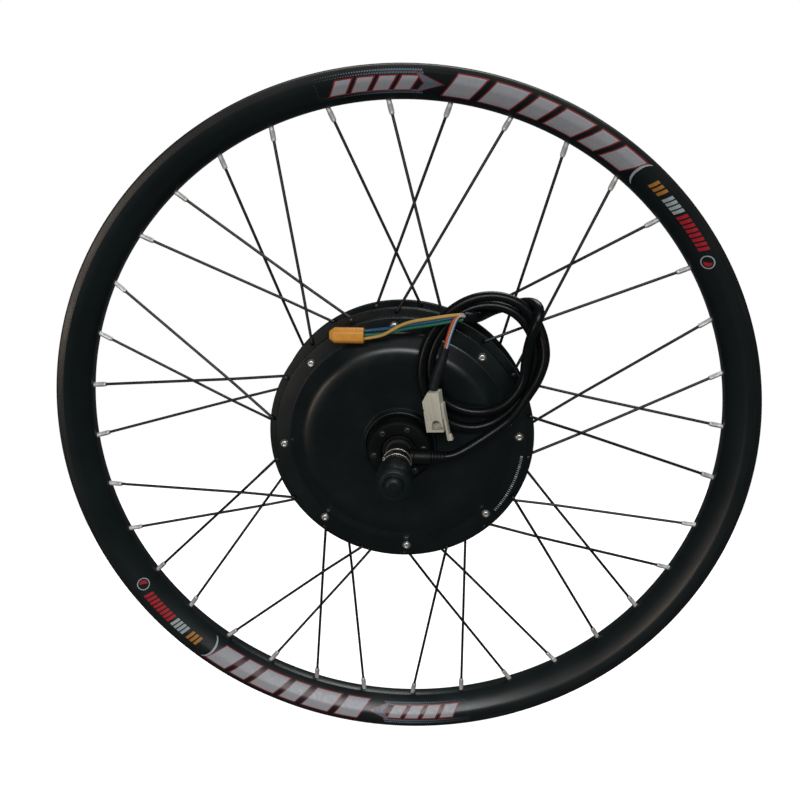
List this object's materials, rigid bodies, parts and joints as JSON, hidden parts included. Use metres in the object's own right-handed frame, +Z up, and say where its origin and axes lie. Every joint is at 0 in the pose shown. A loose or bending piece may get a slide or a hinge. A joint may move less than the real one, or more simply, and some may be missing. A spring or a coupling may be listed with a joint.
{
  "type": "hub motor wheel",
  "caption": "Spoked bicycle wheel with a black direct-drive hub motor, double-wall rim, disc-brake mount and coiled motor lead.",
  "frame": {"origin": "centre of the wheel, on the spin axis, midway between the two axle ends and the two rim faces", "axes": "+Y along the spin axis to the freewheel side, +Z up, the cable and brake-disc side faces -Y, +X to the right of that view"},
  "size_m": [0.636, 0.253, 0.636],
  "materials": {
    "rim_black": "black anodised, satin gloss, with printed bands",
    "hub_black": "black satin paint over cast and turned alloy",
    "spoke_black": "black coated wire with bright nipples",
    "zinc_steel": "zinc plated",
    "axle_steel": "machined and threaded",
    "bearing_steel": "ground",
    "lamination_steel": "stacked sheets",
    "copper": "enamelled winding",
    "magnet": "nickel plated",
    "carrier_alloy": "as cast",
    "board_green": "printed circuit board",
    "rubber_black": "matt",
    "cap_rubber": "soft satin",
    "cable_black": "satin cable jacket",
    "wire_yellow": "three insulated wires, yellow, blue and green",
    "wire_red": "thin insulated wires in several colours",
    "connector_orange": "moulded",
    "connector_ivory": "moulded nylon"
  },
  "bodies": {
    "root": {"axle": "axle_steel", "stator_carrier": "carrier_alloy", "stator_core": "lamination_steel", "windings": "copper", "hall_board": "board_green", "near_bearing_inner": "bearing_steel", "far_bearing_inner": "bearing_steel", "near_tab_washer": "zinc_steel", "near_nut_washer": "zinc_steel", "near_axle_nut": "zinc_steel", "near_nut_cap": "cap_rubber", "far_tab_washer": "zinc_steel", "far_nut_washer": "zinc_steel", "far_axle_nut": "zinc_steel", "far_nut_cap": "cap_rubber", "cable_gland": "rubber_black", "cable_lead": "cable_black", "cable_coil": "cable_black", "cable_tail": "cable_black", "phase_wires": "wire_yellow", "hall_wires": "wire_red", "hall_sleeve": "rubber_black", "phase_connector": "connector_orange", "hall_connector": "connector_ivory"},
    "near_cage": {"near_bearing_balls": "bearing_steel"},
    "far_cage": {"far_bearing_balls": "bearing_steel"},
    "wheel": {"cover_bolt_1": "zinc_steel", "cover_bolt_2": "zinc_steel", "cover_bolt_3": "zinc_steel", "cover_bolt_4": "zinc_steel", "cover_bolt_5": "zinc_steel", "cover_bolt_6": "zinc_steel", "cover_bolt_7": "zinc_steel", "cover_bolt_8": "zinc_steel", "far_bearing_outer": "bearing_steel", "far_cover": "hub_black", "hub_shell": "hub_black", "magnet_ring": "magnet", "near_bearing_outer": "bearing_steel", "near_cover": "hub_black", "near_seal": "rubber_black", "rim": "rim_black", "spoke_pair_far_1": "spoke_black", "spoke_pair_far_2": "spoke_black", "spoke_pair_far_3": "spoke_black", "spoke_pair_far_4": "spoke_black", "spoke_pair_far_5": "spoke_black", "spoke_pair_far_6": "spoke_black", "spoke_pair_far_7": "spoke_black", "spoke_pair_far_8": "spoke_black", "spoke_pair_far_9": "spoke_black", "spoke_pair_near_1": "spoke_black", "spoke_pair_near_2": "spoke_black", "spoke_pair_near_3": "spoke_black", "spoke_pair_near_4": "spoke_black", "spoke_pair_near_5": "spoke_black", "spoke_pair_near_6": "spoke_black", "spoke_pair_near_7": "spoke_black", "spoke_pair_near_8": "spoke_black", "spoke_pair_near_9": "spoke_black"}
  },
  "joints": [
    {"name": "wheel_spin", "type": "hinge", "parent": "root", "child": "wheel", "pos_m": [0, 0, 0], "axis": [0, 1, 0], "continuous": true},
    {"name": "near_cage_spin", "type": "hinge", "parent": "root", "child": "near_cage", "pos_m": [0, -0.0321, 0], "axis": [0, 1, 0], "continuous": true},
    {"name": "far_cage_spin", "type": "hinge", "parent": "root", "child": "far_cage", "pos_m": [0, 0.0285, 0], "axis": [0, 1, 0], "continuous": true}
  ],
  "couplings": [
    {"joint": "near_cage_spin", "follows": "wheel_spin", "ratio": 0.586},
    {"joint": "far_cage_spin", "follows": "wheel_spin", "ratio": 0.6}
  ]
}
